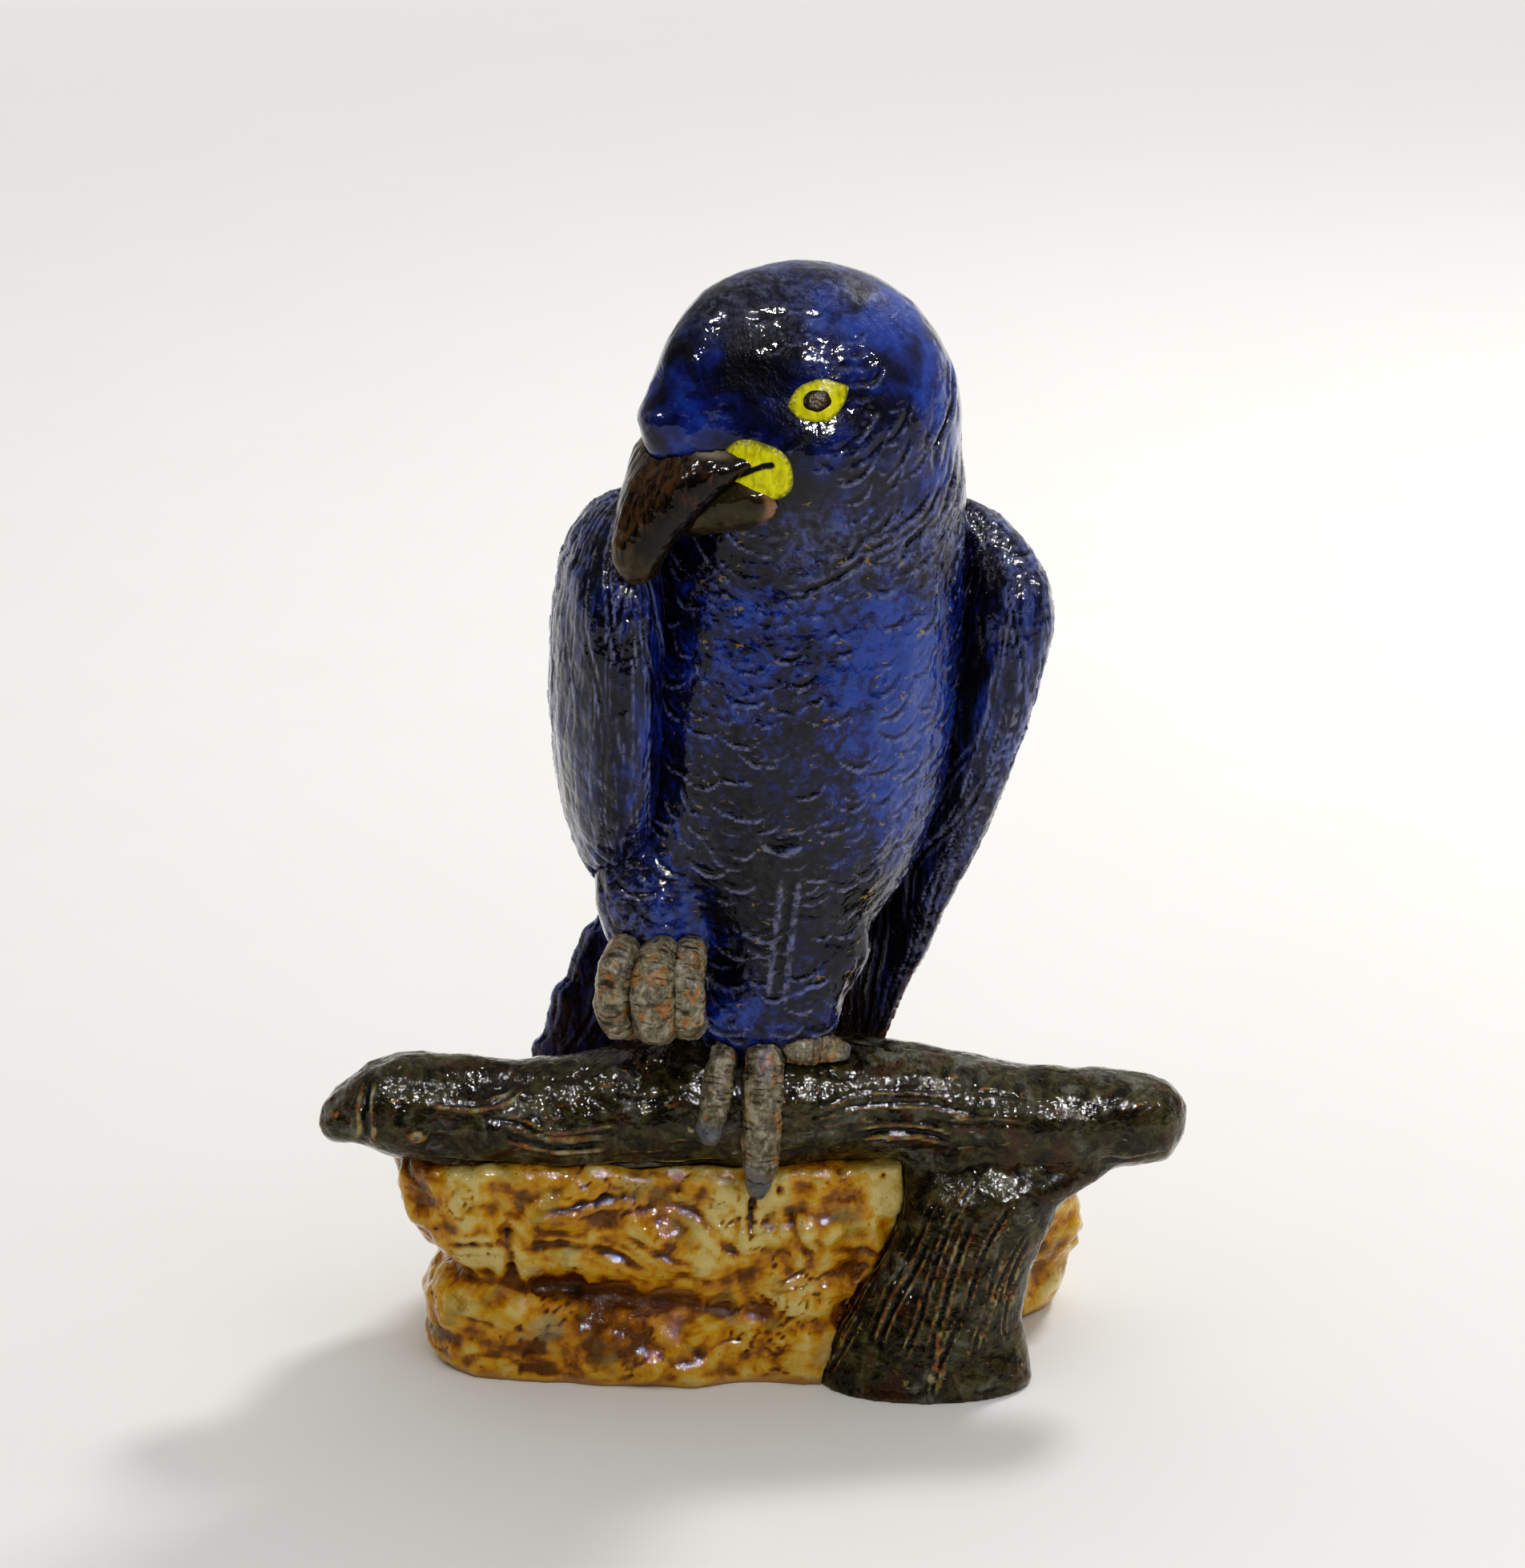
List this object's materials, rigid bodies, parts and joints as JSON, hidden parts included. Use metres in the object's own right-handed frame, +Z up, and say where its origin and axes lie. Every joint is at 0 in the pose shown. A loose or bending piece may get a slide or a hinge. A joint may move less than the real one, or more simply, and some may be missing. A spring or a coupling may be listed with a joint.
{
  "type": "glazed ceramic parrot figurine",
  "caption": "Glazed earthenware parrot with a hooked beak and folded wings, one foot curled, perched on a broken branch over an open-footed rock base.",
  "frame": {"origin": "floor plane, under the middle of the figure's bounding box", "axes": "+Z up from the floor to the crown; the chest faces -Y; +X runs along the branch towards the stump, the bird's left"},
  "size_m": [0.1993, 0.09, 0.2599],
  "materials": {
    "blue_glaze": "gloss, cobalt blue breaking to grey-mauve where thin",
    "branch_glaze": "gloss, black-olive with blue-grey mottling",
    "rock_glaze": "gloss, cream and amber with brown pools",
    "beak_glaze": "gloss, streaked dark brown",
    "yellow_glaze": "semi-gloss, yellow-green",
    "pupil_glaze": "semi-gloss, brown",
    "foot_glaze": "gloss, grey-tan with rust"
  },
  "bodies": {
    "root": {"torso": "blue_glaze", "head": "blue_glaze", "wing_left": "blue_glaze", "wing_right": "blue_glaze", "tail": "blue_glaze", "thigh_left": "blue_glaze", "thigh_right": "blue_glaze", "branch": "branch_glaze", "stump": "branch_glaze", "rock_base": "rock_glaze", "upper_beak": "beak_glaze", "lower_beak": "beak_glaze", "gape_skin_left": "yellow_glaze", "gape_skin_right": "yellow_glaze", "eye_ring_left": "yellow_glaze", "eye_ring_right": "yellow_glaze", "pupil_left": "pupil_glaze", "pupil_right": "pupil_glaze", "standing_toe_front_outer": "foot_glaze", "standing_toe_front_inner": "foot_glaze", "standing_toe_rear_outer": "foot_glaze", "standing_toe_rear_inner": "foot_glaze", "curled_toe_middle": "foot_glaze", "curled_toe_outer": "foot_glaze", "curled_toe_inner": "foot_glaze"}
  },
  "joints": []
}
